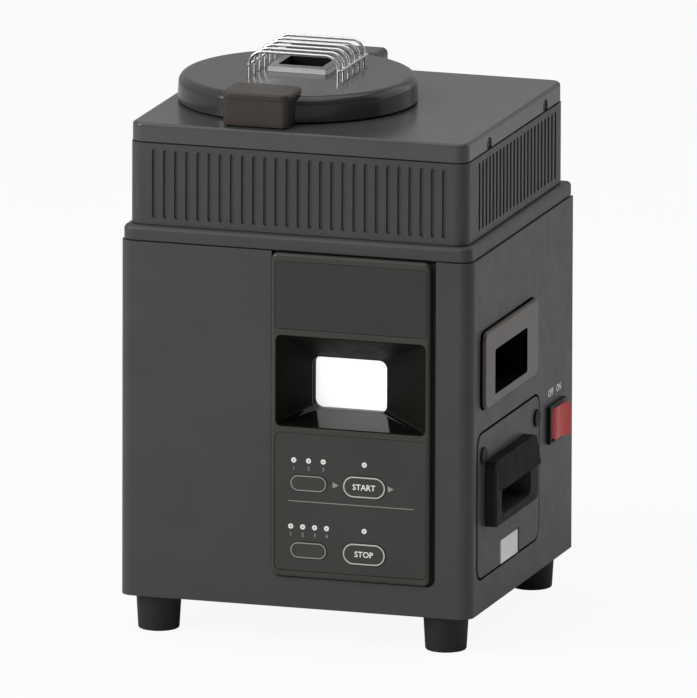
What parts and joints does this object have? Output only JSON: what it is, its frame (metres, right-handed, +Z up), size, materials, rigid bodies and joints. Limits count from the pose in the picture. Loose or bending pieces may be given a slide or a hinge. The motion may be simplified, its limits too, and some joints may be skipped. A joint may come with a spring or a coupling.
{
  "type": "home coffee bean roaster",
  "caption": "Free-standing sheet-metal coffee bean roaster with a hinged round lid, stirred hot-air pot, front control panel, and a bean drawer and chaff case on the right side.",
  "frame": {"origin": "centre of the bounding box footprint, on the plane that the feet stand on", "axes": "+Z up, -Y the front with the control panel, +X the side with the drawer"},
  "size_m": [0.258, 0.2356, 0.3839],
  "materials": {
    "casing_paint": "smooth",
    "cover_paint": "smooth",
    "zinc": "smooth",
    "steel": "smooth",
    "chrome": "polished",
    "bezel_plastic": "smooth",
    "dark_plate": "smooth",
    "black_plastic": "smooth",
    "brown_plastic": "smooth",
    "smoked": "smooth",
    "milky": "smooth",
    "key_plastic": "smooth",
    "red_plastic": "smooth",
    "rubber": "smooth",
    "silicone": "smooth",
    "board_green": "smooth",
    "ceramic": "smooth",
    "nylon": "smooth",
    "motor_steel": "smooth"
  },
  "bodies": {
    "housing": {"foot_front_left": "rubber", "foot_front_right": "rubber", "foot_rear_left": "rubber", "foot_rear_right": "rubber", "base_plate": "zinc", "main_casing": "casing_paint", "rear_panel": "casing_paint", "shoulder_cover": "casing_paint", "upper_casing": "casing_paint", "top_cover": "cover_paint", "cover_fixings_left": "zinc", "cover_fixings_right": "zinc", "cord_gland": "black_plastic", "panel_bezel": "bezel_plastic", "header_plate": "dark_plate", "control_plate": "dark_plate", "light_guide": "milky", "control_board": "board_green", "display_lens": "milky", "lamp_board": "board_green", "rocker_housing": "black_plastic", "drawer_bay": "zinc", "chaff_bay": "zinc", "hinge_bracket": "zinc", "roasting_pot": "steel", "pot_jacket": "zinc", "temperature_sensor": "steel", "agitator_motor": "motor_steel", "inner_frame": "zinc", "gate_solenoid": "motor_steel", "bean_chute": "steel", "blower_housing": "motor_steel", "blower_motor": "motor_steel", "heater_duct": "zinc", "heater_element": "ceramic", "power_board": "board_green"},
    "lid": {"lid_shell": "cover_paint", "lid_liner": "steel", "lid_gasket": "silicone", "lid_handle": "brown_plastic", "chimney_frame": "chrome", "wire_guard": "chrome", "hinge_pin": "steel"},
    "stirrer": {"agitator": "steel", "drive_gear": "nylon"},
    "pinion": {"motor_pinion": "steel"},
    "fan": {"blower_impeller": "black_plastic"},
    "gate": {"discharge_gate": "steel"},
    "drawer": {"bean_tray": "steel", "drawer_front": "casing_paint", "drawer_pull": "black_plastic", "drawer_plug_front": "dark_plate", "drawer_plug_rear": "dark_plate", "drawer_plate": "steel"},
    "chaff_case": {"chaff_case": "smoked"},
    "rocker": {"power_rocker": "red_plastic"},
    "taste_button": {"taste_key": "key_plastic"},
    "start_button": {"start_key": "key_plastic"},
    "adjust_button": {"adjust_key": "key_plastic"},
    "stop_button": {"stop_key": "key_plastic"}
  },
  "joints": [
    {"name": "lid_hinge", "type": "hinge", "parent": "housing", "child": "lid", "pos_m": [-0.038, 0.08515, 0.3611], "axis": [-1, 0, 0], "range_deg": [0, 95]},
    {"name": "stirrer_spin", "type": "hinge", "parent": "housing", "child": "stirrer", "pos_m": [-0.038, -0.00485, 0.25], "axis": [0, 0, 1], "continuous": true},
    {"name": "pinion_spin", "type": "hinge", "parent": "housing", "child": "pinion", "pos_m": [-0.074, -0.00485, 0.226], "axis": [0, 0, 1], "continuous": true},
    {"name": "fan_spin", "type": "hinge", "parent": "housing", "child": "fan", "pos_m": [-0.071, 0.06115, 0.0697], "axis": [1, 0, 0], "continuous": true},
    {"name": "gate_lift", "type": "slide", "parent": "housing", "child": "gate", "axis": [0, 0, 1], "range_m": [0, 0.026]},
    {"name": "drawer_slide", "type": "slide", "parent": "housing", "child": "drawer", "axis": [1, 0, 0], "range_m": [0, 0.11]},
    {"name": "chaff_case_slide", "type": "slide", "parent": "housing", "child": "chaff_case", "axis": [1, 0, 0], "range_m": [0, 0.056]},
    {"name": "power_rocker_tilt", "type": "hinge", "parent": "housing", "child": "rocker", "pos_m": [0.119, 0.07905, 0.1212], "axis": [0, 0, 1], "range_deg": [0, 20]},
    {"name": "taste_press", "type": "slide", "parent": "housing", "child": "taste_button", "axis": [0, 1, 0], "range_m": [0, 0.0008], "stiffness_N_per_m": 1500},
    {"name": "start_press", "type": "slide", "parent": "housing", "child": "start_button", "axis": [0, 1, 0], "range_m": [0, 0.0008], "stiffness_N_per_m": 1500},
    {"name": "adjust_press", "type": "slide", "parent": "housing", "child": "adjust_button", "axis": [0, 1, 0], "range_m": [0, 0.0008], "stiffness_N_per_m": 1500},
    {"name": "stop_press", "type": "slide", "parent": "housing", "child": "stop_button", "axis": [0, 1, 0], "range_m": [0, 0.0008], "stiffness_N_per_m": 1500}
  ],
  "couplings": [
    {"joint": "pinion_spin", "follows": "stirrer_spin", "ratio": -3}
  ]
}
